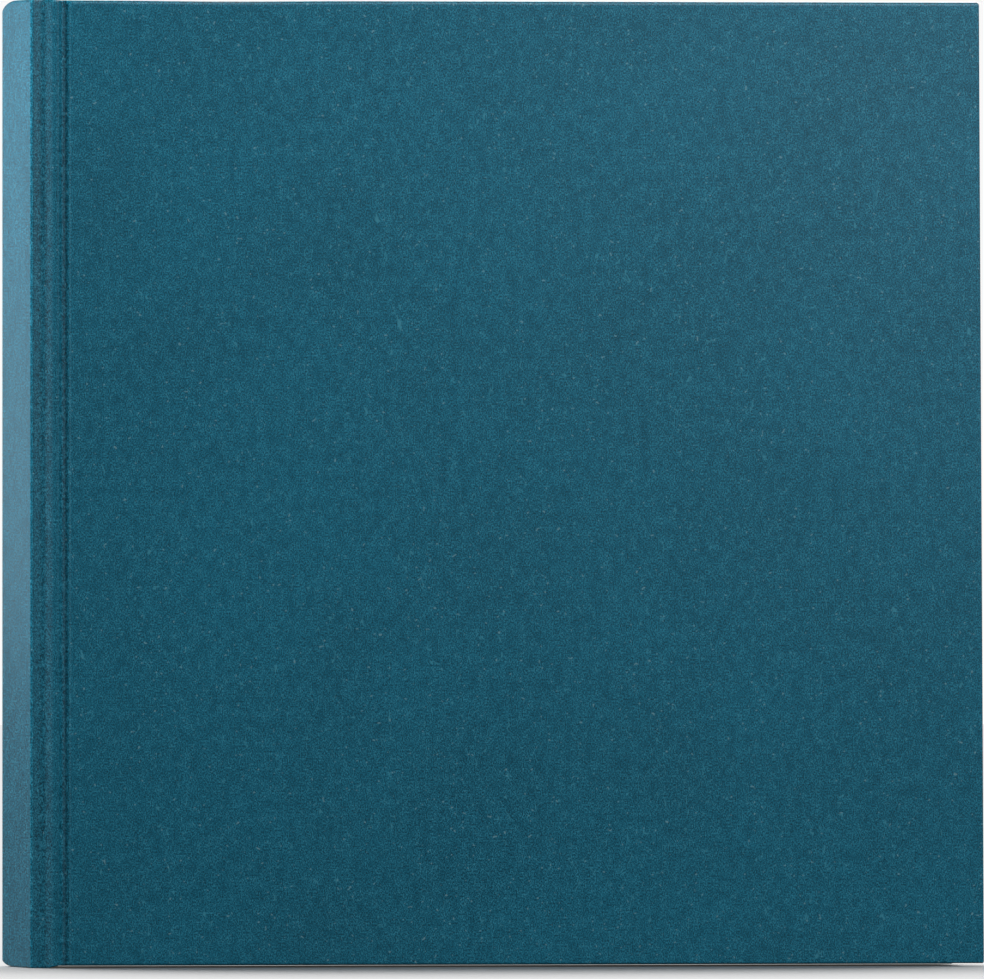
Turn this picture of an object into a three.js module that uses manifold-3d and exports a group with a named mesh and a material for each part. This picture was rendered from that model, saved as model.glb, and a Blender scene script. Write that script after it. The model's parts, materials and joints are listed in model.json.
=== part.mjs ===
// A bookbound scrapbook album: a square hard case around a block of thick card leaves.
// Millimetres, +Z up. The album stands closed on its tail. The front cover faces -Y, the
// spine is at -X and the fore-edge at +X. The origin is the centre of the base.

import * as THREE from 'three';
import { mergeVertices } from 'three/addons/utils/BufferGeometryUtils.js';
import Module from 'manifold-3d';

const wasm = await Module();
wasm.setup();

// ---- Driving dimensions ----
const WIDTH = 300;
const HEIGHT = 300;
const THICKNESS = 50;
const LEAF_COUNT = 30;
const LEAVES_PER_SECTION = 6;

// The case: boards wrapped in one sheet of covering paper.
const PAPER = 0.35;
const GLUE = 0.05;
const BOARD = 2.4;
const SPINE_BOARD = 2;
const TURN_IN = 15;
const CORNER_RADIUS = 1.5;
const TAIL_RISE = 1.2;
const HEAD_DROP = 0.3;

// The joint: a shallow hollow beside the spine, then a crease pressed in along the board.
// Places are measured from the outer face of the spine, depths from the outer face of a cover.
const HOLLOW_AT = 3.7;
const HOLLOW_HALF = 4.2;
const HOLLOW_DEPTH = 0.8;
const CREASE_AT = 10.3;
const CREASE_HALF = 2.1;
const CREASE_DEPTH = 1.8;
const CREASE_GAP = 0.15;
const BOARD_AT = 12;
const BOARD_BEVEL = 0.8;
const STEP_FROM = 5;
const STEP_TO = 10.2;

// The block of leaves.
const SQUARE = 3;
const PITCH = 1.36;
const LEAF = 0.4;
const NECK = 0.2;
const NECK_LENGTH = 4;
const NECK_TAPER = 0.5;
const FOLD_GAP = 0.15;
const GUARD_FRONT_AT = 21;
const LEAF_FOLD_AT = 23;
const ENDPAPER = 0.2;
const FLYLEAF_FOLD_AT = 16;
const FLYLEAF_DEPTH = 20.75;
const PASTEDOWN_MARGIN = 3.5;

// The spine's inner layers, from the spine board inwards.
const LINING = 0.2;
const GAUZE = 0.3;
const HOLLOW_BACK = 0.1;
const GAUZE_MARGIN = 12;
const HEADBAND_RADIUS = 1.1;
const HEADBAND_GAP = 0.1;

// ---- Worked-out places ----
const SPINE_X = -WIDTH / 2;
const FORE_X = WIDTH / 2;
const FACE_Y = THICKNESS / 2;
const COVER_BOTTOM = TAIL_RISE;
const COVER_TOP = HEIGHT - HEAD_DROP;
const LEAF_BOTTOM = COVER_BOTTOM + SQUARE;
const LEAF_TOP = COVER_TOP - SQUARE;
const LEAF_FORE_X = FORE_X - SQUARE;
const WRAP = PAPER + GLUE;
const COVER_WRAP = 2 * WRAP + BOARD;
const SPINE_WRAP = 2 * WRAP + SPINE_BOARD;
const SPINE_BOARD_HALF = FACE_Y - HOLLOW_DEPTH - WRAP;
const LINING_X = SPINE_X + SPINE_WRAP + HOLLOW_BACK;
const GAUZE_X = LINING_X + LINING + GLUE;
const BLOCK_X = GAUZE_X + GAUZE + GLUE;
const SECTION_COUNT = LEAF_COUNT / LEAVES_PER_SECTION;
const SECTION_THICKNESS = LEAVES_PER_SECTION * PITCH;
const SECTION_GAP = 0.06;
const BLOCK_HALF = LEAF_COUNT * PITCH / 2;
const ARC_STEPS = 6;
const CURVE_STEPS = 24;
const PAST = 5;

const FRONT = -1;
const BACK = 1;

// ---- Materials ----
function material(colour, roughness) {
  return new THREE.MeshStandardMaterial({ color: colour, roughness, metalness: 0 });
}

const COVERING = material(0x275b6e, 0.62);
const GREYBOARD = material(0x9a9284, 0.95);
const ENDPAPERS = material(0xf1ece0, 0.85);
const LEAF_CARD = material(0xf0eadb, 0.88);
const GUARD_CARD = material(0xe6dfce, 0.9);
const KRAFT = material(0xc7ae86, 0.9);
const GAUZE_CLOTH = material(0xe9e6dc, 0.95);
const BAND_CLOTH = material(0x2f6d80, 0.7);

// ---- Solids ----
function box(x0, x1, y0, y1, z0, z1) {
  const geometry = new THREE.BoxGeometry(x1 - x0, y1 - y0, z1 - z0);
  return geometry.translate((x0 + x1) / 2, (y0 + y1) / 2, (z0 + z1) / 2);
}

function shapeOf(points) {
  return new THREE.Shape(points.map(([a, b]) => new THREE.Vector2(a, b)));
}

// A prism along Z, from an outline in X and Y.
function prismZ(shape, z0, z1) {
  const geometry = new THREE.ExtrudeGeometry(shape, { depth: z1 - z0, bevelEnabled: false, curveSegments: ARC_STEPS });
  return geometry.translate(0, 0, z0);
}

// A prism along Y, from an outline in X and Z.
function prismY(shape, y0, y1) {
  const geometry = new THREE.ExtrudeGeometry(shape, { depth: y1 - y0, bevelEnabled: false, curveSegments: ARC_STEPS });
  return geometry.rotateX(Math.PI / 2).translate(0, y1, 0);
}

function solid(geometry) {
  const bare = geometry.clone();
  bare.deleteAttribute('normal');
  bare.deleteAttribute('uv');
  const merged = mergeVertices(bare);
  return new wasm.Manifold(new wasm.Mesh({
    numProp: 3,
    vertProperties: new Float32Array(merged.attributes.position.array),
    triVerts: new Uint32Array(merged.index.array),
  }));
}

function geometryOf(body) {
  const mesh = body.getMesh();
  const geometry = new THREE.BufferGeometry();
  geometry.setAttribute('position', new THREE.BufferAttribute(mesh.vertProperties, 3));
  geometry.setIndex(new THREE.BufferAttribute(mesh.triVerts, 1));
  geometry.computeVertexNormals();
  return geometry;
}

// The same stretch of depth on either cover: depth is measured inwards from its outer face.
function acrossCover(side, depth0, depth1) {
  const a = side * (FACE_Y - depth0);
  const b = side * (FACE_Y - depth1);
  return [Math.min(a, b), Math.max(a, b)];
}

// A rectangle in X and Z with its two fore-edge corners rounded.
function coverOutline(x0, x1, z0, z1, radius) {
  const shape = new THREE.Shape();
  shape.moveTo(x0, z0);
  shape.lineTo(x1 - radius, z0);
  shape.absarc(x1 - radius, z0 + radius, radius, -Math.PI / 2, 0, false);
  shape.absarc(x1 - radius, z1 - radius, radius, 0, Math.PI / 2, false);
  shape.lineTo(x0, z1);
  return shape;
}

// ---- The joint's section ----
function bump(u) {
  return Math.abs(u) < 1 ? (1 + Math.cos(Math.PI * u)) / 2 : 0;
}

function jointDepth(s) {
  return HOLLOW_DEPTH * bump((s - HOLLOW_AT) / HOLLOW_HALF)
    + CREASE_DEPTH * bump((s - CREASE_AT) / CREASE_HALF);
}

// A ribbon of covering paper that follows the joint from s0 to s1 and keeps its thickness.
function jointRibbon(side, s0, s1) {
  const outer = [];
  const inner = [];
  for (let i = 0; i <= CURVE_STEPS; i += 1) {
    const s = s0 + (s1 - s0) * i / CURVE_STEPS;
    const slope = (jointDepth(s + 0.01) - jointDepth(s - 0.01)) / 0.02;
    const length = Math.hypot(slope, 1);
    outer.push([SPINE_X + s, side * (FACE_Y - jointDepth(s))]);
    inner.unshift([SPINE_X + s - PAPER * slope / length, side * (FACE_Y - jointDepth(s) - PAPER / length)]);
  }
  return shapeOf([...outer, ...inner]);
}

// The case seen from the front: its tail and head step up and down from spine to cover.
function caseOutline() {
  const tail = [[SPINE_X - PAST, 0], [SPINE_X + STEP_FROM, 0]];
  const head = [[SPINE_X - PAST, HEIGHT], [SPINE_X + STEP_FROM, HEIGHT]];
  for (let i = 1; i <= ARC_STEPS; i += 1) {
    const t = i / ARC_STEPS;
    const rise = t * t * (3 - 2 * t);
    const x = SPINE_X + STEP_FROM + (STEP_TO - STEP_FROM) * t;
    tail.push([x, TAIL_RISE * rise]);
    head.push([x, HEIGHT - HEAD_DROP * rise]);
  }
  tail.push([FORE_X + PAST, TAIL_RISE]);
  head.push([FORE_X + PAST, HEIGHT - HEAD_DROP]);
  return shapeOf([...tail, ...head.reverse()]);
}

// ---- Case ----
function coverBoard(side) {
  const y = (depth) => side * (FACE_Y - depth);
  const start = SPINE_X + BOARD_AT;
  const end = FORE_X - WRAP;
  const section = shapeOf([
    [start, y(WRAP + BOARD_BEVEL)],
    [start + BOARD_BEVEL, y(WRAP)],
    [end, y(WRAP)],
    [end, y(WRAP + BOARD)],
    [start, y(WRAP + BOARD)],
  ]);
  const outline = coverOutline(start - PAST, end, COVER_BOTTOM + WRAP, COVER_TOP - WRAP, CORNER_RADIUS - WRAP);
  const slab = solid(prismZ(section, COVER_BOTTOM, COVER_TOP));
  return geometryOf(slab.intersect(solid(prismY(outline, -FACE_Y, FACE_Y))));
}

// Covering paper of one cover, turned in over the board at the head, tail and fore-edge.
function coverCovering(side) {
  const start = SPINE_X + CREASE_AT + CREASE_HALF;
  const outline = coverOutline(start, FORE_X, COVER_BOTTOM, COVER_TOP, CORNER_RADIUS);
  const pocket = coverOutline(
    start - PAST, FORE_X - PAPER, COVER_BOTTOM + PAPER, COVER_TOP - PAPER, CORNER_RADIUS - PAPER,
  );
  const window = box(
    start - PAST, FORE_X - TURN_IN,
    ...acrossCover(side, WRAP + BOARD, COVER_WRAP + PAPER),
    COVER_BOTTOM + TURN_IN, COVER_TOP - TURN_IN,
  );
  const ribbon = jointRibbon(side, CREASE_AT + CREASE_GAP, CREASE_AT + CREASE_HALF + PAPER);
  return geometryOf(solid(prismY(outline, ...acrossCover(side, 0, COVER_WRAP)))
    .subtract(solid(prismY(pocket, ...acrossCover(side, PAPER, COVER_WRAP - PAPER))))
    .subtract(solid(window))
    .add(solid(prismZ(ribbon, COVER_BOTTOM, COVER_TOP))));
}

// The endpaper's pasted half: it fills the space between the turn-ins and laps over them.
function pastedown(side) {
  const start = SPINE_X + BOARD_AT;
  const sheet = box(
    start, FORE_X - PASTEDOWN_MARGIN,
    ...acrossCover(side, COVER_WRAP + GLUE, COVER_WRAP + GLUE + ENDPAPER),
    COVER_BOTTOM + PASTEDOWN_MARGIN, COVER_TOP - PASTEDOWN_MARGIN,
  );
  const filling = box(
    start, FORE_X - TURN_IN - GLUE,
    ...acrossCover(side, WRAP + BOARD + GLUE, COVER_WRAP + 2 * GLUE),
    COVER_BOTTOM + TURN_IN + GLUE, COVER_TOP - TURN_IN - GLUE,
  );
  return geometryOf(solid(sheet).add(solid(filling)));
}

function spineBoard() {
  return box(
    SPINE_X + WRAP, SPINE_X + WRAP + SPINE_BOARD, -SPINE_BOARD_HALF, SPINE_BOARD_HALF, WRAP, HEIGHT - WRAP,
  );
}

// The wrapped spine board in section: its long edges follow the first slope of each joint.
function spineSection() {
  const front = [];
  const back = [];
  for (let i = 0; i <= ARC_STEPS; i += 1) {
    const s = SPINE_WRAP * i / ARC_STEPS;
    front.push([SPINE_X + s, -FACE_Y + jointDepth(s)]);
    back.unshift([SPINE_X + s, FACE_Y - jointDepth(s)]);
  }
  return shapeOf([...front, ...back]);
}

// Covering paper of the spine, turned in at head and tail, with the spine side of both joints.
function spineCovering() {
  const inside = SPINE_X + SPINE_WRAP;
  const half = SPINE_BOARD_HALF + GLUE;
  const pocket = box(SPINE_X + PAPER, inside - PAPER, -half, half, PAPER, HEIGHT - PAPER);
  const window = box(inside - PAPER - GLUE, inside + PAPER, -half, half, TURN_IN, HEIGHT - TURN_IN);
  let body = solid(prismZ(spineSection(), 0, HEIGHT)).subtract(solid(pocket)).subtract(solid(window));
  for (const side of [FRONT, BACK]) {
    body = body.add(solid(prismZ(jointRibbon(side, PAPER, CREASE_AT - CREASE_GAP), 0, HEIGHT)));
  }
  return geometryOf(body.intersect(solid(prismY(caseOutline(), -FACE_Y - PAST, FACE_Y + PAST))));
}

// ---- Block ----
// A section: compensation strips and the bound ends of its leaves, glued up solid. The leaf
// ends stand out of the strips and stop at the leaves' folds.
function guardSection() {
  const half = (SECTION_THICKNESS - SECTION_GAP) / 2;
  const front = SPINE_X + GUARD_FRONT_AT;
  const stub = SPINE_X + LEAF_FOLD_AT - FOLD_GAP;
  const points = [[BLOCK_X, -half], [front, -half]];
  for (let i = 0; i < LEAVES_PER_SECTION; i += 1) {
    const y = (i - (LEAVES_PER_SECTION - 1) / 2) * PITCH;
    points.push([front, y - LEAF / 2], [stub, y - LEAF / 2], [stub, y + LEAF / 2], [front, y + LEAF / 2]);
  }
  points.push([front, half], [BLOCK_X, half]);
  return prismZ(shapeOf(points), LEAF_BOTTOM, LEAF_TOP);
}

// A leaf from its fold at X = 0 to the fore-edge. A scored strip beside the fold is thinner.
function leaf(thickness, neck, length) {
  return prismZ(shapeOf([
    [FOLD_GAP, -neck / 2],
    [NECK_LENGTH, -neck / 2],
    [NECK_LENGTH + NECK_TAPER, -thickness / 2],
    [length, -thickness / 2],
    [length, thickness / 2],
    [NECK_LENGTH + NECK_TAPER, thickness / 2],
    [NECK_LENGTH, neck / 2],
    [FOLD_GAP, neck / 2],
  ]), LEAF_BOTTOM, LEAF_TOP);
}

function flyleaf() {
  return box(
    FOLD_GAP, LEAF_FORE_X - SPINE_X - FLYLEAF_FOLD_AT, -ENDPAPER / 2, ENDPAPER / 2, LEAF_BOTTOM, LEAF_TOP,
  );
}

function spineSheet(x, thickness, margin) {
  return box(x, x + thickness, -BLOCK_HALF, BLOCK_HALF, LEAF_BOTTOM + margin, LEAF_TOP - margin);
}

// A beaded band on its tape: the bead lies over the end of the block, the tape is on its back.
function headband(end, inwards) {
  const beadZ = end - inwards * (HEADBAND_GAP + HEADBAND_RADIUS);
  const tapeZ = [beadZ, end + inwards * (GAUZE_MARGIN - HEADBAND_GAP)].sort((a, b) => a - b);
  const bead = new THREE.CylinderGeometry(HEADBAND_RADIUS, HEADBAND_RADIUS, 2 * BLOCK_HALF, 4 * ARC_STEPS)
    .translate(GAUZE_X + HEADBAND_RADIUS, 0, beadZ);
  const tape = box(GAUZE_X, GAUZE_X + GAUZE, -BLOCK_HALF, BLOCK_HALF, ...tapeZ);
  return geometryOf(solid(bead).add(solid(tape)));
}

// ---- Assembly ----
const album = new THREE.Group();

function place(parent, name, geometry, look, x = 0, y = 0) {
  const mesh = new THREE.Mesh(geometry, look);
  mesh.name = name;
  mesh.position.set(x, y, 0);
  parent.add(mesh);
}

function addCover(name, side) {
  const cover = new THREE.Group();
  place(cover, `${name}_board`, coverBoard(side), GREYBOARD);
  place(cover, `${name}_covering`, coverCovering(side), COVERING);
  place(cover, `${name}_pastedown`, pastedown(side), ENDPAPERS);
  album.add(cover);
}

function addSpine() {
  const spine = new THREE.Group();
  place(spine, 'spine_board', spineBoard(), GREYBOARD);
  place(spine, 'spine_covering', spineCovering(), COVERING);
  place(spine, 'spine_lining', spineSheet(LINING_X, LINING, 0), KRAFT);
  place(spine, 'spine_gauze', spineSheet(GAUZE_X, GAUZE, GAUZE_MARGIN), GAUZE_CLOTH);
  place(spine, 'headband', headband(LEAF_TOP, -1), BAND_CLOTH);
  place(spine, 'tailband', headband(LEAF_BOTTOM, 1), BAND_CLOTH);
  album.add(spine);
}

function addBlock() {
  const block = new THREE.Group();
  for (let i = 0; i < SECTION_COUNT; i += 1) {
    const y = (i - (SECTION_COUNT - 1) / 2) * SECTION_THICKNESS;
    place(block, `guard_section_${i + 1}`, guardSection(), GUARD_CARD, 0, y);
  }
  const length = LEAF_FORE_X - SPINE_X - LEAF_FOLD_AT;
  for (let i = 0; i < LEAF_COUNT; i += 1) {
    const name = `leaf_${String(i + 1).padStart(2, '0')}`;
    const y = (i - (LEAF_COUNT - 1) / 2) * PITCH;
    place(block, name, leaf(LEAF, NECK, length), LEAF_CARD, SPINE_X + LEAF_FOLD_AT, y);
  }
  place(block, 'front_flyleaf', flyleaf(), ENDPAPERS, SPINE_X + FLYLEAF_FOLD_AT, -FLYLEAF_DEPTH);
  place(block, 'back_flyleaf', flyleaf(), ENDPAPERS, SPINE_X + FLYLEAF_FOLD_AT, FLYLEAF_DEPTH);
  album.add(block);
}

addCover('front', FRONT);
addCover('back', BACK);
addSpine();
addBlock();

export default album;
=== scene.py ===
"""Looks of a bookbound scrapbook album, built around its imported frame. Metres, +Z up."""

import json
import math

import bmesh
import bpy
import numpy as np
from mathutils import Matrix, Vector, noise


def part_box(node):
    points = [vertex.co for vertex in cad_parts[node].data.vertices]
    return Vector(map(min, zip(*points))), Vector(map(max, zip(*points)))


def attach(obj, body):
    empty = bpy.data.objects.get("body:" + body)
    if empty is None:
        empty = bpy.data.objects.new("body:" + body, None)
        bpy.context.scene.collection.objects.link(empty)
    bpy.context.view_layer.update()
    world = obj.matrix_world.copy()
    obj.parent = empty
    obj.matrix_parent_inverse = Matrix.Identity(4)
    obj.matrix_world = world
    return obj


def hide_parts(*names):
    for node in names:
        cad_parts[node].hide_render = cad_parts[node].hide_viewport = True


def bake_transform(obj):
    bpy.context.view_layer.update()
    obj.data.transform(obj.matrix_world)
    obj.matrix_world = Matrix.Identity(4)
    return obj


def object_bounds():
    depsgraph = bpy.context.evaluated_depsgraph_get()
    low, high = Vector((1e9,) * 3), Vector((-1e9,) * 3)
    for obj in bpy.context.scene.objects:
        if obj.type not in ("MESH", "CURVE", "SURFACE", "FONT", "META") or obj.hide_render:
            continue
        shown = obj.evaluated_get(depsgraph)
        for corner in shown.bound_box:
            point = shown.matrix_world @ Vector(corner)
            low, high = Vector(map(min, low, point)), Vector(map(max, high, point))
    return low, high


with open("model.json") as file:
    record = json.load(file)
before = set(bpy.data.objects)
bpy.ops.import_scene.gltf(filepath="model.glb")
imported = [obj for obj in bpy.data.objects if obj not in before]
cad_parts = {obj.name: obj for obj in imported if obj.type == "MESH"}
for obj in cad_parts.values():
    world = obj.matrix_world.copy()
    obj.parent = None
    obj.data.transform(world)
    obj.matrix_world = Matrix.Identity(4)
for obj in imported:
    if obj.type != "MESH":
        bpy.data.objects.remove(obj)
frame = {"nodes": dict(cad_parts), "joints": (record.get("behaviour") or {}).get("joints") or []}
CAD_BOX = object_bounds()
MM = 0.001

# ---- Places, from the frame ----
JOINTS = {joint["name"]: joint for joint in frame["joints"]}
LOW, HIGH = CAD_BOX
SPINE_X = LOW.x
FORE_X = HIGH.x
FACE = HIGH.y
HEAD_Z = HIGH.z
BOARD_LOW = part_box("front_board")[0].z
HEAD_DROP = HEAD_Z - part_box("front_covering")[1].z
COVER_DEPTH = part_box("front_covering")[1].y + FACE
SPINE_INNER_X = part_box("spine_board")[1].x + 0.4 * MM
CREASE_AT = JOINTS["front_cover_hinge"]["pos_m"][0] - SPINE_X
BOARD_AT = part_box("front_board")[0].x - SPINE_X
LEAF_LOW, LEAF_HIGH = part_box("leaf_01")
BLOCK_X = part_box("guard_section_1")[0].x
FOLD_X = JOINTS["leaf_01_hinge"]["pos_m"][0]
FLYLEAF_FOLD_X = JOINTS["front_flyleaf_hinge"]["pos_m"][0]
FLYLEAF_Y = JOINTS["front_flyleaf_hinge"]["pos_m"][1]
PITCH = JOINTS["leaf_02_hinge"]["pos_m"][1] - JOINTS["leaf_01_hinge"]["pos_m"][1]
LEAF_NAMES = sorted(n for n in frame["nodes"] if n.startswith("leaf_"))
SECTION_NAMES = sorted(n for n in frame["nodes"] if n.startswith("guard_section_"))
FRONT = -1
BACK = 1

# The joint's section: a shallow hollow beside the spine, then a crease along the board.
HOLLOW_AT = 3.7 * MM
HOLLOW_HALF = 4.2 * MM
HOLLOW_DEPTH = 0.8 * MM
CREASE_BEFORE = 1.8 * MM
CREASE_AFTER = 2.5 * MM
CREASE_DEPTH = 1.2 * MM

# The covering's folds and edges, and the waves of its broad faces.
PATH_STEP = 0.25 * MM
SKIN = 0.28 * MM
SEAM_IN = 3 * MM
SPINE_CORNER = 1.1 * MM
HEAD_RADIUS = 1.1 * MM
TAIL_RADIUS = 0.5 * MM
FORE_RADIUS = 0.7 * MM
TURN_IN = 15 * MM
DOUBLED = 0.75 * MM
FACE_WAVE = 0.07 * MM
FACE_WAVE_SIZE = 55 * MM
FACE_WAVE_FADE = 12 * MM

# The case's outline: the step from joint to board, the tails, the lean of the fore-edge, a dip
# in the head and the rounded back corners of the spine.
STEP_FROM = 5 * MM
STEP_TO = 10.2 * MM
FRONT_TAIL = BOARD_LOW - 0.75 * MM
BACK_TAIL = 0.1 * MM
EDGE_LEAN = 1.6 * MM
DIP = 0.25 * MM
DIP_AT = 62 * MM
DIP_WIDTH = 26 * MM
FAR_CORNER_HEAD = 3.3 * MM
FAR_CORNER_TAIL = 2.2 * MM
FAR_CORNER_ALONG = 20 * MM
FAR_CORNER_BESIDE = 9 * MM

# Sheets and the block.
ENDPAPER_SHEET = 0.2 * MM
ENDPAPER_FOLD = 5.5 * MM
PASTE_GAP = 0.03 * MM
CARD = 0.4 * MM
NECK = 0.2 * MM
NECK_END = 4.0 * MM
INTERLEAF = 0.05 * MM
INTERLEAF_FROM = 5.2 * MM
INTERLEAF_INSET = 1.5 * MM
STRIP_GAP = 0.03 * MM
BLOCK_WAVE = 0.20 * MM
LEAF_WAVE = 0.05 * MM


# ---- Camera and studio ----
CAMERA_TURN = math.radians(-11.1)
CAMERA_LENS = 1400
SENSOR = 36
VIEW_WIDTH = 306.0 * MM
AIM = Vector((0.4 * MM, 0, 148.2 * MM))


def make_camera():
    data = bpy.data.cameras.new("camera")
    data.lens = CAMERA_LENS
    data.sensor_width = SENSOR
    data.clip_start = 0.1
    data.clip_end = 60
    camera = bpy.data.objects.new("camera", data)
    bpy.context.scene.collection.objects.link(camera)
    back = Vector((math.sin(CAMERA_TURN), -math.cos(CAMERA_TURN), 0))
    camera.location = AIM + back * (VIEW_WIDTH * CAMERA_LENS / SENSOR)
    camera.rotation_mode = "QUATERNION"
    camera.rotation_quaternion = (-back).to_track_quat("-Z", "Y")
    bpy.context.scene.camera = camera


make_camera()


# ---- Node helpers ----
class Nodes:
    """A short way to write one material's node tree."""

    def __init__(self, name):
        self.material = bpy.data.materials.new(name)
        self.material.use_nodes = True
        self.tree = self.material.node_tree
        self.shader = self.tree.nodes["Principled BSDF"]
        self.place = self.add("ShaderNodeTexCoord").outputs["Object"]

    def add(self, kind, **settings):
        node = self.tree.nodes.new(kind)
        for key, value in settings.items():
            setattr(node, key, value)
        return node

    def link(self, source, target):
        self.tree.links.new(source, target)

    def feed(self, socket, value):
        if isinstance(value, bpy.types.NodeSocket):
            self.link(value, socket)
        else:
            socket.default_value = value

    def scaled(self, factors):
        mapping = self.add("ShaderNodeMapping")
        self.link(self.place, mapping.inputs["Vector"])
        mapping.inputs["Scale"].default_value = factors
        return mapping.outputs["Vector"]

    def noise(self, scale, detail=2.0, roughness=0.5, stretch=(1, 1, 1), distortion=0.0):
        node = self.add("ShaderNodeTexNoise")
        self.link(self.scaled(stretch), node.inputs["Vector"])
        node.inputs["Scale"].default_value = scale
        node.inputs["Detail"].default_value = detail
        node.inputs["Roughness"].default_value = roughness
        node.inputs["Distortion"].default_value = distortion
        return node.outputs["Fac"]

    def ramp(self, value, low, high, to_low=0.0, to_high=1.0, smooth=False):
        node = self.add("ShaderNodeMapRange")
        node.interpolation_type = "SMOOTHSTEP" if smooth else "LINEAR"
        self.feed(node.inputs["Value"], value)
        node.inputs["From Min"].default_value = low
        node.inputs["From Max"].default_value = high
        node.inputs["To Min"].default_value = to_low
        node.inputs["To Max"].default_value = to_high
        return node.outputs["Result"]

    def math(self, operation, a, b=0.0):
        node = self.add("ShaderNodeMath", operation=operation)
        self.feed(node.inputs[0], a)
        self.feed(node.inputs[1], b)
        return node.outputs["Value"]

    def mix(self, factor, a, b, blend="MIX"):
        node = self.add("ShaderNodeMix", data_type="RGBA", blend_type=blend)
        self.feed(node.inputs["Factor"], factor)
        self.feed(node.inputs["A"], a)
        self.feed(node.inputs["B"], b)
        return node.outputs["Result"]

    def scale(self, vector, factor):
        node = self.add("ShaderNodeVectorMath", operation="SCALE")
        self.feed(node.inputs["Vector"], vector)
        self.feed(node.inputs["Scale"], factor)
        return node.outputs["Vector"]

    def bump(self, height, distance, strength=1.0):
        node = self.add("ShaderNodeBump")
        node.inputs["Strength"].default_value = strength
        node.inputs["Distance"].default_value = distance
        self.link(height, node.inputs["Height"])
        self.link(node.outputs["Normal"], self.shader.inputs["Normal"])

    def set(self, **values):
        for key, value in values.items():
            self.feed(self.shader.inputs[key.replace("_", " ")], value)


def colour(red, green, blue):
    return (red, green, blue, 1.0)


# ---- Materials ----
DYE = (0.001, 0.100, 0.165)
PALE_FIBRE = (0.050, 0.25, 0.335)


def fibres(n, scale, width, patches, share, stretch):
    """Short curved fibres: thin contour lines of one noise, kept only where another is high."""
    lines = n.noise(scale, detail=1.0, roughness=0.4, stretch=stretch, distortion=0.6)
    near = n.math("ABSOLUTE", n.math("SUBTRACT", lines, 0.5))
    line = n.ramp(near, 0.0, width, 1.0, 0.0, smooth=True)
    patch = n.noise(patches, detail=1.0, stretch=(1.3, 1.3, 0.8))
    kept = n.ramp(patch, share, share + 0.06, smooth=True)
    return n.math("MULTIPLY", line, kept)


def covering_material():
    """Dyed-through leather paper: a mottled petrol ground under a haze of short paler fibres."""
    n = Nodes("covering_paper")
    cloud = n.noise(22, detail=2.0)
    mottle = n.noise(330, detail=3.0, roughness=0.6, stretch=(1, 0.5, 0.75))
    grain = n.noise(2400, detail=2.0, roughness=0.85, stretch=(1.1, 0.2, 0.75))
    long_fibres = fibres(n, 150, 0.012, 420, 0.58, (1.2, 0.6, 0.8))
    short_fibres = fibres(n, 380, 0.022, 700, 0.56, (1.1, 0.5, 0.8))
    fibre = n.math("MAXIMUM", long_fibres, short_fibres)
    specks = n.ramp(n.noise(1100, detail=0.0), 0.80, 0.85, smooth=True)
    shade = n.math("MULTIPLY", n.ramp(cloud, 0.3, 0.7, 0.93, 1.07), n.ramp(mottle, 0.3, 0.7, 0.85, 1.15))
    shade = n.math("MULTIPLY", shade, n.ramp(grain, 0.32, 0.68, 0.15, 1.65))
    ground = n.scale(DYE, shade)
    haze = n.math("MULTIPLY", n.ramp(grain, 0.50, 0.68), n.ramp(mottle, 0.35, 0.65, 0.20, 0.85))
    pale = n.math("MAXIMUM", haze, n.math("MULTIPLY", fibre, 0.6))
    with_fibres = n.mix(pale, ground, colour(*PALE_FIBRE))
    final = n.mix(n.math("MULTIPLY", specks, 0.6), with_fibres, colour(0.14, 0.28, 0.33))
    n.set(Base_Color=final, Roughness=n.ramp(grain, 0.3, 0.7, 0.34, 0.44))
    n.set(Specular_IOR_Level=0.28)
    height = n.math("ADD", n.math("MULTIPLY", grain, 0.6), n.math("MULTIPLY", fibre, 0.25))
    n.bump(n.math("ADD", height, n.math("MULTIPLY", mottle, 0.5)), 0.05 * MM, 0.6)
    return n.material


def paper_material(name, base, tint, roughness=0.85, grain=0.04):
    """Plain uncoated paper or card: fine tooth, faint cloudiness and a few flecks."""
    n = Nodes(name)
    tooth = n.noise(1400, detail=4.0, roughness=0.7)
    cloud = n.noise(45, detail=3.0)
    fleck = n.ramp(n.noise(500, detail=1.0), 0.73, 0.78, smooth=True)
    clouded = n.mix(n.ramp(cloud, 0.3, 0.7), base, tint)
    flecked = n.mix(n.math("MULTIPLY", fleck, 0.10), clouded, colour(0.45, 0.38, 0.28))
    shade = n.ramp(tooth, 0.3, 0.7, 1.0 - grain, 1.0 + grain)
    n.set(Base_Color=n.mix(1.0, flecked, n.mix(shade, colour(0, 0, 0), colour(1, 1, 1)), blend="MULTIPLY"))
    n.set(Roughness=n.ramp(tooth, 0.3, 0.7, roughness - 0.06, roughness + 0.06))
    n.set(Specular_IOR_Level=0.3)
    n.bump(tooth, 0.03 * MM, 0.6)
    return n.material


def greyboard_material():
    n = Nodes("greyboard")
    pulp = n.noise(700, detail=5.0, roughness=0.7)
    layer = n.noise(900, detail=2.0, stretch=(1, 6, 1))
    bits = n.ramp(n.noise(260, detail=2.0), 0.62, 0.70, smooth=True)
    ground = n.mix(n.ramp(pulp, 0.3, 0.7), colour(0.25, 0.235, 0.21), colour(0.38, 0.36, 0.32))
    n.set(Base_Color=n.mix(n.math("MULTIPLY", bits, 0.4), ground, colour(0.12, 0.12, 0.13)))
    n.set(Roughness=n.ramp(layer, 0.3, 0.7, 0.86, 0.97), Specular_IOR_Level=0.2)
    n.bump(pulp, 0.08 * MM, 0.7)
    return n.material


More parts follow.
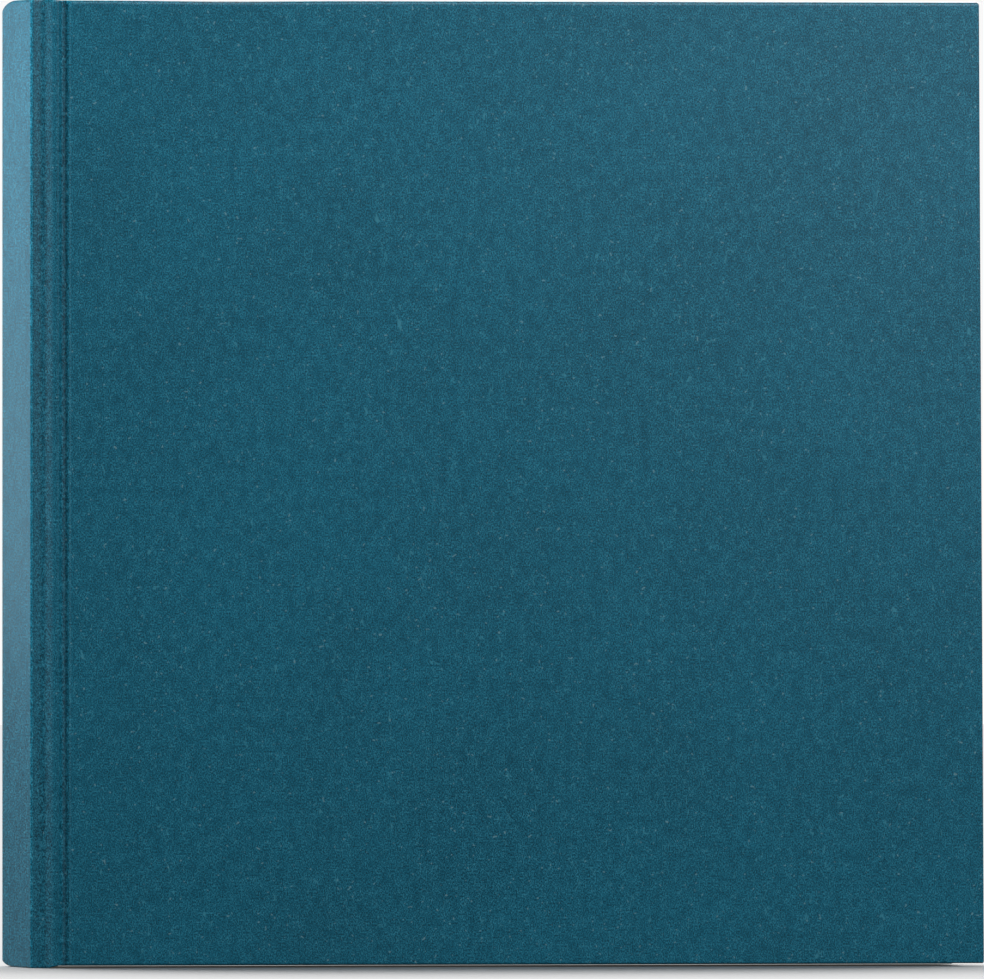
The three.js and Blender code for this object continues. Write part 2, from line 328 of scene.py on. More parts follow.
def gauze_material():
    """Bookbinder's mull: an open weave of sized threads, drawn in depth along Y and Z."""
    n = Nodes("gauze")
    split = n.add("ShaderNodeSeparateXYZ")
    n.link(n.place, split.inputs["Vector"])
    thread = 2 * math.pi / (0.9 * MM)
    across = n.math("SINE", n.math("MULTIPLY", split.outputs["Y"], thread))
    along = n.math("SINE", n.math("MULTIPLY", split.outputs["Z"], thread))
    weave = n.math("MAXIMUM", across, along)
    cover = n.ramp(weave, 0.1, 0.7, smooth=True)
    fuzz = n.noise(1800, detail=3.0)
    threads = n.mix(n.ramp(fuzz, 0.3, 0.7), colour(0.70, 0.66, 0.57), colour(0.82, 0.79, 0.70))
    n.set(Base_Color=n.mix(cover, colour(0.42, 0.34, 0.24), threads))
    n.set(Roughness=n.ramp(fuzz, 0.3, 0.7, 0.85, 0.98), Specular_IOR_Level=0.2)
    n.bump(weave, 0.1 * MM, 0.8)
    return n.material


def band_material(name, dark, light):
    """Mercerised thread: fine twist across each stitch and a soft sheen."""
    n = Nodes(name)
    twist = n.noise(2500, detail=2.0, stretch=(1, 0.3, 1))
    n.set(Base_Color=n.mix(n.ramp(twist, 0.3, 0.7), dark, light))
    n.set(Roughness=n.ramp(twist, 0.3, 0.7, 0.45, 0.62), Sheen_Weight=0.3, Sheen_Roughness=0.4)
    n.bump(twist, 0.05 * MM, 0.8)
    return n.material


def glassine_material():
    """Thin translucent interleaf paper with a faint crazed calender mark."""
    n = Nodes("glassine")
    mark = n.noise(160, detail=4.0, roughness=0.65, distortion=1.2)
    tooth = n.noise(1200, detail=2.0)
    n.set(Base_Color=n.mix(n.ramp(mark, 0.35, 0.65), colour(0.80, 0.80, 0.77), colour(0.90, 0.90, 0.87)))
    n.set(Roughness=n.ramp(tooth, 0.3, 0.7, 0.34, 0.48), Specular_IOR_Level=0.5)
    n.set(Alpha=0.62)
    n.bump(mark, 0.05 * MM, 0.5)
    return n.material


COVERING = covering_material()
GREYBOARD = greyboard_material()
ENDPAPER = paper_material("endpaper", colour(0.70, 0.665, 0.575), colour(0.74, 0.705, 0.62))
LEAF_CARD = paper_material("leaf_card", colour(0.78, 0.74, 0.64), colour(0.83, 0.79, 0.69), 0.88, 0.05)
GUARD_CARD = paper_material("guard_card", colour(0.70, 0.64, 0.52), colour(0.76, 0.70, 0.58), 0.9, 0.07)
KRAFT = paper_material("kraft_lining", colour(0.45, 0.32, 0.18), colour(0.52, 0.38, 0.23), 0.9, 0.10)
GAUZE = gauze_material()
BAND_COLOUR = band_material("band_colour", colour(0.015, 0.09, 0.13), colour(0.03, 0.15, 0.20))
BAND_WHITE = band_material("band_white", colour(0.66, 0.63, 0.56), colour(0.80, 0.78, 0.72))
GLASSINE = glassine_material()


# ---- Mesh helpers ----
def make_object(name, vertices, faces, material):
    mesh = bpy.data.meshes.new(name)
    mesh.from_pydata([tuple(map(float, v)) for v in vertices], [], faces)
    mesh.materials.append(material)
    piece = bpy.data.objects.new(name, mesh)
    bpy.context.scene.collection.objects.link(piece)
    return piece


def tidy_mesh(piece, merge=True, outwards=True):
    """Merges doubled points and drops faces of no area, then turns every face outwards."""
    mesh = bmesh.new()
    mesh.from_mesh(piece.data)
    if merge:
        bmesh.ops.remove_doubles(mesh, verts=mesh.verts, dist=1e-6)
        bmesh.ops.dissolve_degenerate(mesh, edges=mesh.edges, dist=1e-7)
    if outwards:
        bmesh.ops.recalc_face_normals(mesh, faces=mesh.faces)
    mesh.to_mesh(piece.data)
    mesh.free()


def smooth_faces(piece):
    for polygon in piece.data.polygons:
        polygon.use_smooth = True


def apply_modifiers(piece):
    graph = bpy.context.evaluated_depsgraph_get()
    made = bpy.data.meshes.new_from_object(piece.evaluated_get(graph))
    piece.modifiers.clear()
    piece.data = made


def sharpen(piece, degrees):
    piece.data.set_sharp_from_angle(angle=math.radians(degrees))


def finished(piece):
    """A closed solid made ready: merged, turned outwards, smooth but for its square edges."""
    tidy_mesh(piece)
    smooth_faces(piece)
    sharpen(piece, 40)
    return piece


def grid_faces(columns, rows, flip=False, offset=0):
    faces = []
    for c in range(columns - 1):
        for r in range(rows - 1):
            a = offset + c * rows + r
            quad = (a, a + rows, a + rows + 1, a + 1)
            faces.append(quad[::-1] if flip else quad)
    return faces


def sheet_from_sides(name, one, other, material):
    """A closed thin sheet from two grids of points, columns by rows, joined round their rim."""
    columns, rows = one.shape[:2]
    count = columns * rows
    vertices = np.concatenate([one.reshape(-1, 3), other.reshape(-1, 3)])
    faces = grid_faces(columns, rows) + grid_faces(columns, rows, flip=True, offset=count)
    rim = [c * rows for c in range(columns)]
    rim += [(columns - 1) * rows + r for r in range(1, rows)]
    rim += [c * rows + rows - 1 for c in range(columns - 2, -1, -1)]
    rim += [r for r in range(rows - 2, 0, -1)]
    for a, b in zip(rim, rim[1:] + rim[:1]):
        faces.append((b, a, a + count, b + count))
    return finished(make_object(name, vertices, faces, material))


def waves(x, z, seed, size):
    """A smooth value from about -1 to 1 over the sheet: how far the paper stands off its plane."""
    return noise.noise(Vector((x / size, seed * 3.7, z / size)))


# ---- Covering paper ----
def bump(u):
    return np.where(np.abs(u) < 1, (1 + np.cos(np.pi * u)) / 2, 0.0)


def joint_depth(s):
    hollow = bump((s - HOLLOW_AT) / HOLLOW_HALF)
    crease = bump((s - CREASE_AT) / np.where(s < CREASE_AT, CREASE_BEFORE, CREASE_AFTER))
    return HOLLOW_DEPTH * hollow + CREASE_DEPTH * crease


def smooth_step(t):
    t = np.clip(t, 0, 1)
    return t * t * (3 - 2 * t)


def half_path():
    """Points (x, y) along the case from the spine's seam to the fore-edge, on the front side."""
    lip = -FACE + np.linspace(SEAM_IN, SPINE_CORNER, 5)[:-1]
    flat = np.stack([np.full(len(lip), SPINE_X), lip], axis=1)
    turn = np.radians(np.linspace(0, 90, 9))
    s = SPINE_CORNER * (1 - np.cos(turn))
    corner = np.stack([SPINE_X + s, -FACE + SPINE_CORNER * (1 - np.sin(turn)) + joint_depth(s)], axis=1)
    s = np.concatenate([
        np.arange(SPINE_CORNER + PATH_STEP, CREASE_AT + CREASE_AFTER, PATH_STEP),
        [13 * MM, 14 * MM, 16 * MM],
        np.linspace(20 * MM, FORE_X - SPINE_X - 8 * MM, 68),
        FORE_X - SPINE_X - np.array([4, 2, 1]) * MM,
        [FORE_X - SPINE_X - FORE_RADIUS],
    ])
    cover = np.stack([SPINE_X + s, -FACE + joint_depth(s)], axis=1)
    return np.concatenate([flat, corner, cover])


def spine_path():
    """Points (x, y) across the flat of the spine, from the front seam to the back seam."""
    y = np.linspace(-FACE + SEAM_IN, FACE - SEAM_IN, 31)
    return np.stack([np.full(len(y), SPINE_X), y], axis=1)


def inner_depth(s):
    """Depth of the case's inner face: doubled paper in the joint, then over the board's edge."""
    over_board = smooth_step((s - BOARD_AT + 0.9 * MM) / (0.8 * MM))
    joint = joint_depth(s) + DOUBLED
    return joint + (COVER_DEPTH - joint) * over_board


def inner_path(outer):
    """The inner face of the wrapping, opposite each point of the outer path."""
    corner_s = SPINE_INNER_X - SPINE_X
    s = np.maximum(outer[:, 0] - SPINE_X, corner_s)
    depth = np.maximum(inner_depth(s), 0)
    beside = outer[:, 0] > SPINE_INNER_X
    widest = FACE - inner_depth(np.array([corner_s]))[0]
    y = np.where(beside, np.sign(outer[:, 1]) * (FACE - depth), np.clip(outer[:, 1], -widest, widest))
    return np.stack([SPINE_X + s, y], axis=1)


def rounding(edge):
    """How far a rounded corner has fallen: 1 at the corner itself, 0 where it ends."""
    return 1 - np.sqrt(1 - (1 - np.clip(edge, 0, 1)) ** 2)


def tail_and_head(outer, mirrored):
    """Z of the tail and head edges along the path, with the small step from joint to board."""
    s = outer[:, 0] - SPINE_X
    y = -outer[:, 1] if mirrored else outer[:, 1]
    step = smooth_step((s - STEP_FROM) / (STEP_TO - STEP_FROM))
    dip = DIP * np.exp(-(((s - DIP_AT) / DIP_WIDTH) ** 2))
    edge = np.clip((FACE - y) / FAR_CORNER_ALONG, 0, 1) + np.clip(s / FAR_CORNER_BESIDE, 0, 1)
    far = np.where(y > 0, rounding(edge), 0)
    tail = (BACK_TAIL if mirrored else FRONT_TAIL) * step + FAR_CORNER_TAIL * far
    head = HEAD_Z - HEAD_DROP * step - dip - FAR_CORNER_HEAD * far
    return tail, head


def wrap_profile(radius):
    """The fold round a board's edge: how far out it stands, and its depth as a + b * thickness."""
    outer = np.radians(np.linspace(0, 90, 6))[1:]
    inner = np.radians(np.linspace(0, 90, 5))
    flange = -TURN_IN * np.array([0.1, 0.4, 0.75, 1.0])
    out = np.concatenate([radius * np.sin(outer), radius * np.cos(inner), flange])
    a = np.concatenate([radius * (1 - np.cos(outer)), radius * (np.sin(inner) - 1), np.zeros(len(flange))])
    b = np.concatenate([np.zeros(len(outer)), np.ones(len(inner) + len(flange))])
    return out, a, b


def face_rows():
    near = np.array([0, 0.5, 1.5, 3.5]) * MM
    middle = np.linspace(7 * MM, HEAD_Z - 7 * MM, 72)
    return np.concatenate([near, middle, HEAD_Z - near[::-1]]) / HEAD_Z


def corner_point(k, j, fore, end, thickness):
    """A point of the folded corner, on ring max(k, j): a rounded arris outside, a mitre inside."""
    ring = max(k, j)
    if fore[0][ring] <= 1e-9:
        return fore[0][ring], fore[1][ring] + fore[2][ring] * thickness, end[0][ring]
    share = (min(k, j) + 1) / (ring + 1) * math.pi / 4
    angle = share if k >= j else math.pi / 2 - share
    turned = math.sin(angle) ** 2
    depth = fore[1][ring] * (1 - turned) + end[1][ring] * turned + fore[2][ring] * thickness
    return fore[0][ring] * math.cos(angle), depth, end[0][ring] * math.sin(angle)


def skin_points(outer, wraps_fore_edge, mirrored):
    """The paper's outer surface: columns along the path, rows from the tail turn-in to the head's."""
    across = inner_path(outer) - outer
    thickness = np.linalg.norm(across, axis=1)
    inwards = across / thickness[:, None]
    edge_x = outer[-1, 0]
    tail, head = tail_and_head(outer, mirrored)
    tail = tail + TAIL_RADIUS
    head = head - HEAD_RADIUS
    v = face_rows()
    at_tail = wrap_profile(TAIL_RADIUS)
    at_head = wrap_profile(HEAD_RADIUS)
    at_fore = wrap_profile(FORE_RADIUS)
    wraps = len(at_tail[0])
    fore = wraps if wraps_fore_edge else 0
    points = np.zeros((len(outer) + fore, len(v) + 2 * wraps, 3))
    ends = (
        (at_tail, TAIL_RADIUS, tail, -1, wraps - 1),
        (at_head, HEAD_RADIUS, head, 1, len(v) + wraps),
    )
    for c in range(len(outer)):
        points[c, wraps:-wraps, :2] = outer[c]
        points[c, wraps:-wraps, 2] = tail[c] + (head[c] - tail[c]) * v
        for (out, a, b), radius, level, up, first in ends:
            arris = min(1, thickness[c] / (2 * radius))
            for k in range(wraps):
                xy = outer[c] + inwards[c] * (a[k] * arris + b[k] * thickness[c])
                if wraps_fore_edge and out[k] < 0:
                    xy[0] = min(xy[0], edge_x + out[k])
                points[c, first + up * k] = (*xy, level[c] + up * out[k])
    for k in range(fore):
        out, a, b = at_fore
        column = points[len(outer) + k]
        inset = max(-out[k], 0)
        rows = tail[-1] + (head[-1] - tail[-1]) * v
        column[wraps:-wraps, 0] = edge_x + out[k]
        column[wraps:-wraps, 1] = outer[-1, 1] + inwards[-1, 1] * (a[k] + b[k] * thickness[-1])
        column[wraps:-wraps, 2] = np.clip(rows, tail[-1] + inset, head[-1] - inset)
        for profile, radius, level, up, first in ends:
            for j in range(wraps):
                x, y, reach = corner_point(k, j, at_fore, profile, thickness[-1])
                spot = (edge_x + x, outer[-1, 1] + inwards[-1, 1] * y)
                column[first + up * j] = (*spot, level[-1] + up * reach)
    return points


def lean_fore_edge(points):
    """The covers' fore-edges stand a little further out at the tail than at the head."""
    reach = np.clip((points[:, :, 0] - FORE_X + 20 * MM) / (20 * MM), 0, 1)
    points[:, :, 0] += EDGE_LEAN * reach * (1 - points[:, :, 2] / HEAD_Z)


def undulate(points, side):
    """Lets the broad faces stand up and down a little, as paper over board does."""
    for p in points.reshape(-1, 3):
        inside = min(p[0] - SPINE_X - 16 * MM, FORE_X - 3 * MM - p[0], p[2] - 4 * MM, HEAD_Z - 4 * MM - p[2])
        if inside > 0 and abs(abs(p[1]) - FACE) < 0.01 * MM:
            fade = min(inside / FACE_WAVE_FADE, 1)
            p[1] -= side * FACE_WAVE * fade * (1 + waves(p[0], p[2], side, FACE_WAVE_SIZE))


def skin(name, outer, material, wraps_fore_edge, side):
    points = skin_points(outer, wraps_fore_edge, side == BACK)
    if side == BACK:
        points[:, :, 1] *= -1
    if wraps_fore_edge:
        lean_fore_edge(points)
    undulate(points, side)
    columns, rows = points.shape[:2]
    piece = make_object(name, points.reshape(-1, 3), grid_faces(columns, rows, flip=side == BACK), material)
    tidy_mesh(piece, outwards=False)
    thicken = piece.modifiers.new("thickness", "SOLIDIFY")
    thicken.thickness = SKIN
    thicken.offset = -1
    apply_modifiers(piece)
    smooth_faces(piece)
    sharpen(piece, 50)
    return piece


def add_covering():
    for name, side in (("front", FRONT), ("back", BACK)):
        piece = skin(f"{name}_covering_paper", half_path(), COVERING, True, side)
        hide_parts(f"{name}_covering")
        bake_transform(piece)
    piece = skin("spine_covering_paper", spine_path()[::-1], COVERING, False, FRONT)
    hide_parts("spine_covering")
    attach(piece, "spine_block")


add_covering()


# ---- Sheets of paper and card ----
def normals_of(path):
    along = np.gradient(path, axis=0)
    along /= np.linalg.norm(along, axis=1)[:, None]
    return np.stack([-along[:, 1], along[:, 0]], axis=1)


def leaf_wave(x, z, seed):
    """How far a leaf stands off its plane: mostly the wave shared by the whole block."""
    free = smooth_step((x - FOLD_X - 4 * MM) / (60 * MM))
    return free * (BLOCK_WAVE * waves(x, z, 0.5, 170 * MM) + LEAF_WAVE * waves(x, z, seed, 60 * MM))


def ribbon(name, path, thickness, low, high, material, rows=12, seed=None):
    """A sheet whose middle follows a path in plan, from low to high. With a seed it waves as a leaf."""
    path = np.asarray(path, float)
    thickness = np.broadcast_to(thickness, (len(path),))
    normal = normals_of(path)
    z = np.linspace(low, high, rows)
    sides = []
    for sign in (1, -1):
        grid = np.zeros((len(path), rows, 3))
        for c, (spot, n) in enumerate(zip(path, normal)):
            grid[c, :, :2] = spot + sign * n * thickness[c] / 2
            grid[c, :, 2] = z
            if seed is not None:
                grid[c, :, 1] += [leaf_wave(spot[0], height, seed) for height in z]
        sides.append(grid)
    return sheet_from_sides(name, *sides, material)


# ---- Endpapers ----
def arc(centre, radius, start, end, steps):
    turn = np.radians(np.linspace(start, end, steps))
    return np.stack([centre[0] + radius * np.cos(turn), centre[1] + radius * np.sin(turn)], axis=1)


def joint_point(side, s, depth):
    return np.array([SPINE_X + s, side * (FACE - depth)])


def add_pasted_half(name, side):
    """The half pasted down: out of the fold at the shoulder, through the joint and over the board."""
    low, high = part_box(f"{name}_pastedown")
    off = ENDPAPER_SHEET / 2 + PASTE_GAP
    lower = FACE - abs(FLYLEAF_Y)
    upper = inner_depth(np.array([ENDPAPER_FOLD]))[0] + off
    radius = (lower - upper) / 2
    centre = joint_point(side, ENDPAPER_FOLD, upper + radius)
    fold = arc(centre, radius, -90 * side, -90 * side - 180 * side, 13)
    s = np.arange(ENDPAPER_FOLD + PATH_STEP, 13 * MM, PATH_STEP)
    joint = np.stack([SPINE_X + s, side * (FACE - inner_depth(s) - off)], axis=1)
    board = np.linspace(joint[-1], (high.x, joint[-1, 1]), 40)[1:]
    path = np.concatenate([fold, joint, board])
    piece = ribbon(f"{name}_endpaper", path, ENDPAPER_SHEET, low.z, high.z, ENDPAPER, rows=20)
    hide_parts(f"{name}_pastedown")
    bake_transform(piece)


def add_free_half(name, side):
    """The flyleaf: tipped to the block beside the fold, free beyond its own."""
    low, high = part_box(f"{name}_flyleaf")
    y = side * abs(FLYLEAF_Y)
    tipped = np.linspace((SPINE_X + ENDPAPER_FOLD, y), (FLYLEAF_FOLD_X - 1 * MM, y), 10)
    turning = np.linspace((FLYLEAF_FOLD_X - 1 * MM, y), (FLYLEAF_FOLD_X + 1 * MM, y), 11)[1:]
    free = np.linspace((FLYLEAF_FOLD_X + 1 * MM, y), (high.x, y), 36)[1:]
    path = np.concatenate([tipped, turning, free])
    piece = ribbon(f"{name}_flyleaf_paper", path, ENDPAPER_SHEET, low.z, high.z, ENDPAPER, rows=20)
    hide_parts(f"{name}_flyleaf")
    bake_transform(piece)


def add_endpapers():
    for name, side in (("front", FRONT), ("back", BACK)):
        add_pasted_half(name, side)
        add_free_half(name, side)


# ---- Leaves and interleaves ----
def leaf_path(y):
    """Plan of one leaf, from the spine edge of its stub to the fore-edge, and its thickness there."""
    stub = [BLOCK_X - FOLD_X, -10 * MM, -1.2 * MM, -0.8 * MM]
    neck = [-0.6 * MM + 0.1 * MM * k for k in range(13)] + [2 * MM, 3.2 * MM, NECK_END, NECK_END + 0.5 * MM]
    free = list(np.linspace(NECK_END + 1 * MM, LEAF_HIGH.x - FOLD_X, 24))
    r = np.array(stub + neck + free)
    card = np.full(len(r), CARD)
    card[(r > -0.7 * MM) & (r < NECK_END + 0.1 * MM)] = NECK
    return np.stack([FOLD_X + r, np.full(len(r), y)], axis=1), card


def interleaf_path(y, side):
    """Plan of an interleaf: tipped on beside the neck, it stands off its leaf into the gap."""
    leaving = np.linspace(INTERLEAF_FROM, 24 * MM, 10)
    free = np.linspace(30 * MM, LEAF_HIGH.x - FOLD_X - 2 * MM, 20)
    r = np.concatenate([leaving, free])
    offset = CARD / 2 + 0.04 * MM + 0.44 * MM * smooth_step((r - INTERLEAF_FROM) / (16 * MM))
    return np.stack([FOLD_X + r, y + side * offset], axis=1)


def add_interleaf(i, leaf, y, side):
    low = LEAF_LOW.z + INTERLEAF_INSET
    high = LEAF_HIGH.z - INTERLEAF_INSET
    path = interleaf_path(y, side)
    piece = ribbon(f"interleaf_{i + 1:02d}", path, INTERLEAF, low, high, GLASSINE, seed=i)
    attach(piece, leaf)


def add_leaves():
    """Each leaf, and an interleaf in every gap: on the side of its leaf towards the middle."""
    middle = len(LEAF_NAMES) / 2
    for i, name in enumerate(LEAF_NAMES):
        y = JOINTS[f"{name}_hinge"]["pos_m"][1]
        path, card = leaf_path(y)
        piece = ribbon(f"{name}_card", path, card, LEAF_LOW.z, LEAF_HIGH.z, LEAF_CARD, seed=i)
        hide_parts(name)
        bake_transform(piece)
        if i != middle:
            add_interleaf(i, name, y, BACK if i < middle else FRONT)


# ---- Guards, bands and spine sheets ----
def prism(outline, low, high):
    """Points and faces of a closed upright prism over an outline in plan."""
    count = len(outline)
    points = [(x, y, low) for x, y in outline] + [(x, y, high) for x, y in outline]
    faces = [tuple(range(count))[::-1], tuple(range(count, 2 * count))]
    faces += [(k, (k + 1) % count, (k + 1) % count + count, k + count) for k in range(count)]
    return points, faces


def guard_outline(y, half, front_x):
    """A folded guard strip: round at its spine fold, square at its front."""
    turn = np.radians(np.linspace(90, 270, 7))
    back = [(BLOCK_X + half + half * math.cos(t), y + half * math.sin(t)) for t in turn]
    return back + [(front_x, y - half), (front_x, y + half)]


def strip_edges(section, per_section):
    """Y of both faces of every strip in a section: strips and leaves lie in turn, a strip outermost."""
    first = section * per_section
    ys = [JOINTS[f"{name}_hinge"]["pos_m"][1] for name in LEAF_NAMES[first:first + per_section]]
    clear = CARD / 2 + STRIP_GAP
    lows = [ys[0] - PITCH / 2 + STRIP_GAP] + [y + clear for y in ys]
    highs = [y - clear for y in ys] + [ys[-1] + PITCH / 2 - STRIP_GAP]
    return list(zip(lows, highs))


def add_guards():
    front_x = FOLD_X - 2 * MM
    per_section = len(LEAF_NAMES) // len(SECTION_NAMES)
    for s, name in enumerate(SECTION_NAMES):
        points, faces = [], []
        for k, (low, high) in enumerate(strip_edges(s, per_section)):
            cut = 0.25 * MM * noise.noise(Vector((s * 7.3, k * 1.9, 0.5)))
            outline = guard_outline((low + high) / 2, (high - low) / 2, front_x + cut)
            strip, sides = prism(outline, LEAF_LOW.z + abs(cut), LEAF_HIGH.z - abs(cut))
            faces += [tuple(v + len(points) for v in side) for side in sides]
            points += strip
        piece = finished(make_object(f"{name}_strips", points, faces, GUARD_CARD))
        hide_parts(name)
        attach(piece, "spine_block")


STITCHES = 34
STITCH_STEPS = 6
AROUND = 18
BEAD_RADIUS = 1.05 * MM
TAPE_REACH = 11 * MM
TAPE_TEETH = 40


def bead_points(centre_x, centre_z, half):
    """A lobed bead along Y: one lobe for each stitch, each ring slanted, closed at both ends."""
    ys = np.linspace(-half, half, STITCHES * STITCH_STEPS + 1)
    points = []
    for j, y in enumerate(ys):
        lobe = 0.80 + 0.20 * abs(math.sin(math.pi * j / STITCH_STEPS))
        close = min(1, 0.35 + 2.2 * min(j, len(ys) - 1 - j) / STITCH_STEPS)
        for k in range(AROUND):
            turn = 2 * math.pi * k / AROUND
            slant = 0.30 * MM * math.sin(turn)
            r = BEAD_RADIUS * lobe * close
            points.append((centre_x + r * math.cos(turn), y + slant * close, centre_z + r * math.sin(turn)))
    faces = []
    for j in range(len(ys) - 1):
        for k in range(AROUND):
            a = j * AROUND + k
            b = j * AROUND + (k + 1) % AROUND
            faces.append((a, b, b + AROUND, a + AROUND))
    faces.append(tuple(range(AROUND))[::-1])
    faces.append(tuple(range((len(ys) - 1) * AROUND, len(ys) * AROUND)))
    return points, faces


def add_band(name, end, inwards):
    """A worked band: a tape with a lobed bead of stitches in two colours along its edge."""
    low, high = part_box(name)
    centre_z = end - inwards * (BEAD_RADIUS + 0.15 * MM)
    half = high.y - 0.1 * MM
    points, faces = bead_points(low.x + BEAD_RADIUS, centre_z, half)
    bead_faces = len(faces)
    tape = tape_points(low.x, half, centre_z, end + inwards * TAPE_REACH, len(points))
    piece = make_object(name + "_worked", points + tape[0], faces + tape[1], BAND_COLOUR)
    piece.data.materials.append(BAND_WHITE)
    for index, polygon in enumerate(piece.data.polygons):
        stitch = index // (AROUND * STITCH_STEPS)
        on_tape = index >= bead_faces
        polygon.material_index = 1 if on_tape or stitch % 2 else 0
        polygon.use_smooth = not on_tape
    tidy_mesh(piece, merge=False)
    sharpen(piece, 50)
    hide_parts(name)
    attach(piece, "spine_block")


def tape_points(x, half, near_z, far_z, offset):
    """The band's tape down the back of the block, with a pinked far edge."""
    columns = 2 * TAPE_TEETH + 1
    points = []
    for depth in (0.0, 0.25 * MM):
        for c in range(columns):
            y = -half + 2 * half * c / (columns - 1)
            notch = 0.8 * MM * (c % 2) * math.copysign(1, near_z - far_z)
            points.append((x + depth, y, near_z))
            points.append((x + depth, y, far_z + notch))
    faces = []
    side = 2 * columns
    for c in range(columns - 1):
        a = offset + 2 * c
        faces.append((a, a + 1, a + 3, a + 2))
        faces.append((a + side, a + side + 2, a + side + 3, a + side + 1))
        faces.append((a, a + 2, a + side + 2, a + side))
        faces.append((a + 1, a + side + 1, a + side + 3, a + 3))
    last = offset + 2 * (columns - 1)
    faces.append((offset, offset + side, offset + side + 1, offset + 1))
    faces.append((last, last + 1, last + side + 1, last + side))
    return points, faces


def add_spine_board():
    """The spine's stiffener: a strip of board, rounded like the covering at its two back corners."""
    low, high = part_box("spine_board")
    turn = np.radians(np.linspace(0, 90, 12))
    y = np.concatenate([[low.y], high.y - FAR_CORNER_ALONG * (1 - np.sin(turn))])
    fall = rounding((FACE - y) / FAR_CORNER_ALONG)
    head = list(zip(y, high.z - FAR_CORNER_HEAD * fall))
    tail = list(zip(y, low.z + FAR_CORNER_TAIL * fall))
    outline = head + tail[::-1]
    count = len(outline)
    points = [(x, *spot) for x in (low.x, high.x) for spot in outline]
    faces = [tuple(range(count)), tuple(range(count, 2 * count))]
    faces += [(k, (k + 1) % count, (k + 1) % count + count, k + count) for k in range(count)]
    piece = finished(make_object("spine_board_cut", points, faces, GREYBOARD))
    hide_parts("spine_board")
    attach(piece, "spine_block")


def finish_cad_nodes():
    """The solids whose shape is right as packed take their materials here."""
    looks = {"front_board": GREYBOARD, "back_board": GREYBOARD, "spine_lining": KRAFT, "spine_gauze": GAUZE}
    for name, material in looks.items():
        mesh = frame["nodes"][name].data
        mesh.materials.clear()
        mesh.materials.append(material)


add_endpapers()
add_leaves()
add_guards()
add_band("headband", LEAF_HIGH.z, -1)
add_band("tailband", LEAF_LOW.z, 1)
add_spine_board()
finish_cad_nodes()


# ---- Floor and light ----
FLOOR_HALF = 12
WHITE = (1, 1, 1, 1)

# Each lamp: where it stands, what it faces, its width and height, and its power in watts.
LAMPS = {
    "side": ((-0.56, -0.035, 0.42), (-0.15, 0, 0.22), 0.2, 0.3, 4.5),
    "haze": ((-0.31, 0.70, 0.24), (-0.15, 0, 0.24), 0.25, 0.30, 0.12),
    "joint": ((-0.59, -0.90, 0.26), (-0.15, 0, 0.20), 0.15, 0.30, 1.2),
    "panel": ((0.58, -0.70, 0.60), (0.58, 0, 0.60), 0.8, 0.8, 3.5),
    "front": ((0.45, -0.9, 1.15), (0.1, 0, 0.2), 0.7, 0.7, 13.5),
    "rear": ((0.55, 1.20, 0.90), (0, 0, 0.15), 0.7, 0.7, 14),
}

# The side lamp stands so near that the cover's edges would mirror it, so it gives no gloss.
MATT_LAMPS = ("side",)

# A broad soft light on the floor alone, from above and behind: its shade falls in front.
SUN_FROM = Vector((0.05, 0.53, 1.0))
SUN_ANGLE = math.radians(44)
SUN_STRENGTH = 2.8
BACK_GLOW = 0.19
FRONT_GLOW = 0.08
BACKDROP = 0.95


def make_floor():
    """A plain matt floor. It takes shade but throws no light back on the album."""
    n = Nodes("floor")
    n.set(Base_Color=colour(0.88, 0.88, 0.88), Roughness=1.0, Specular_IOR_Level=0.0)
    corners = [(-1, -1, 0), (1, -1, 0), (1, 1, 0), (-1, 1, 0)]
    corners = [(x * FLOOR_HALF, y * FLOOR_HALF, z) for x, y, z in corners]
    floor = make_object("floor", corners, [(0, 1, 2, 3)], n.material)
    floor.visible_diffuse = False
    floor.visible_glossy = False
    return floor


def link_light(lamp, floor, on_floor):
    """Has the lamp light the floor alone, or all but the floor. Everything still shades its light."""
    receivers = bpy.data.collections.new("receivers")
    receivers.objects.link(floor)
    lamp.light_linking.receiver_collection = receivers
    if not on_floor:
        receivers.collection_objects[0].light_linking.link_state = "EXCLUDE"


def add_light(name, data, place, aim):
    lamp = bpy.data.objects.new(name, data)
    bpy.context.scene.collection.objects.link(lamp)
    lamp.location = place
    lamp.rotation_mode = "QUATERNION"
    lamp.rotation_quaternion = (Vector(aim) - Vector(place)).to_track_quat("-Z", "Y")
    lamp.visible_camera = False
    return lamp


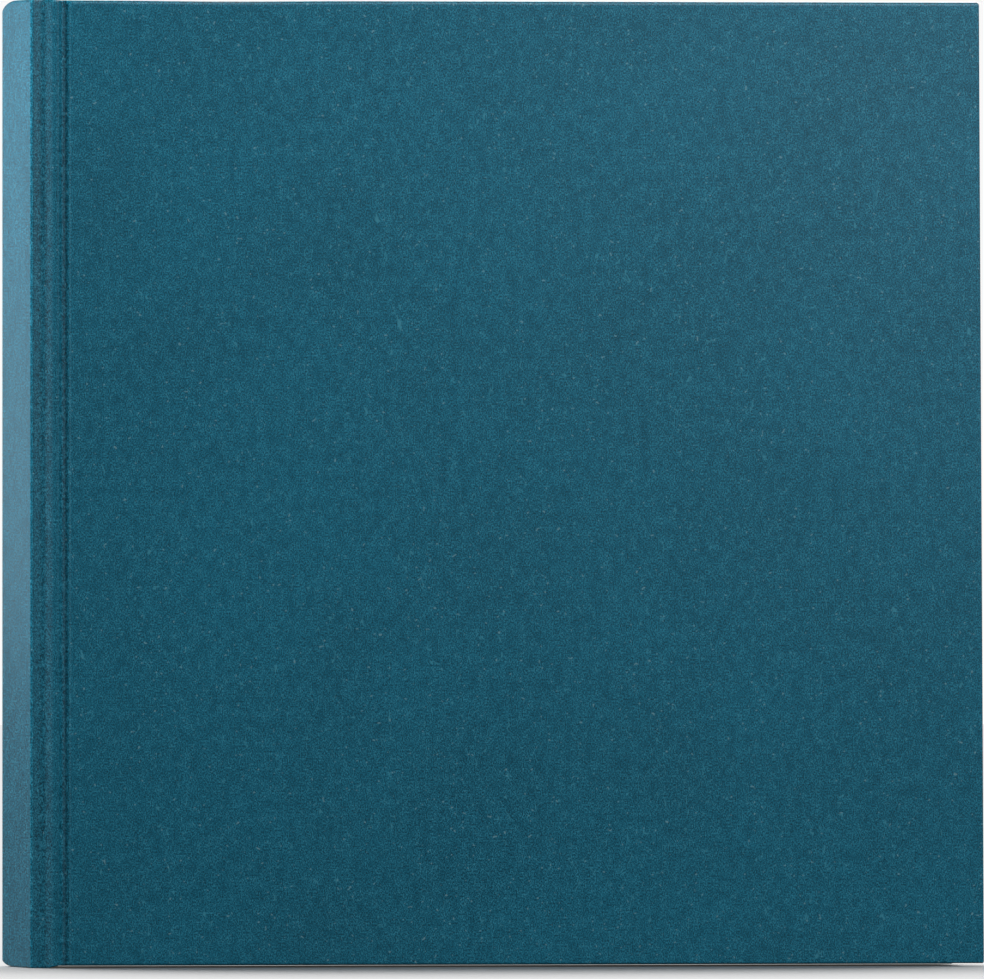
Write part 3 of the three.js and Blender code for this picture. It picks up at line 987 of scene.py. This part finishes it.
def add_panel(name, place, aim, width, height, power):
    data = bpy.data.lights.new(name, "AREA")
    data.shape = "RECTANGLE"
    data.size = width
    data.size_y = height
    data.energy = power
    return add_light(name, data, place, aim)


def add_sun():
    data = bpy.data.lights.new("sky", "SUN")
    data.angle = SUN_ANGLE
    data.energy = SUN_STRENGTH
    return add_light("sky", data, SUN_FROM, (0, 0, 0))


def make_world():
    """A white room as the camera sees it; as light, brighter behind the album than before it."""
    world = bpy.data.worlds.new("studio")
    bpy.context.scene.world = world
    world.use_nodes = True
    tree = world.node_tree
    tree.nodes.clear()
    place = tree.nodes.new("ShaderNodeTexCoord")
    side = tree.nodes.new("ShaderNodeVectorMath")
    side.operation = "DOT_PRODUCT"
    side.inputs[1].default_value = (0, 0.8, 0.6)
    glow = tree.nodes.new("ShaderNodeMapRange")
    glow.inputs["From Min"].default_value = -0.4
    glow.inputs["From Max"].default_value = 0.4
    glow.inputs["To Min"].default_value = FRONT_GLOW
    glow.inputs["To Max"].default_value = BACK_GLOW
    path = tree.nodes.new("ShaderNodeLightPath")
    level = tree.nodes.new("ShaderNodeMix")
    level.inputs["B"].default_value = BACKDROP
    background = tree.nodes.new("ShaderNodeBackground")
    background.inputs["Color"].default_value = WHITE
    output = tree.nodes.new("ShaderNodeOutputWorld")
    tree.links.new(place.outputs["Generated"], side.inputs[0])
    tree.links.new(side.outputs["Value"], glow.inputs["Value"])
    tree.links.new(path.outputs["Is Camera Ray"], level.inputs["Factor"])
    tree.links.new(glow.outputs["Result"], level.inputs["A"])
    tree.links.new(level.outputs["Result"], background.inputs["Strength"])
    tree.links.new(background.outputs["Background"], output.inputs["Surface"])


white_floor = make_floor()
for lamp_name, settings in LAMPS.items():
    panel = add_panel(lamp_name, *settings)
    panel.visible_glossy = lamp_name not in MATT_LAMPS
    link_light(panel, white_floor, on_floor=False)
link_light(add_sun(), white_floor, on_floor=True)
make_world()
bpy.context.scene.view_settings.view_transform = "Standard"

# ---- Final update ----
bpy.context.view_layer.update()
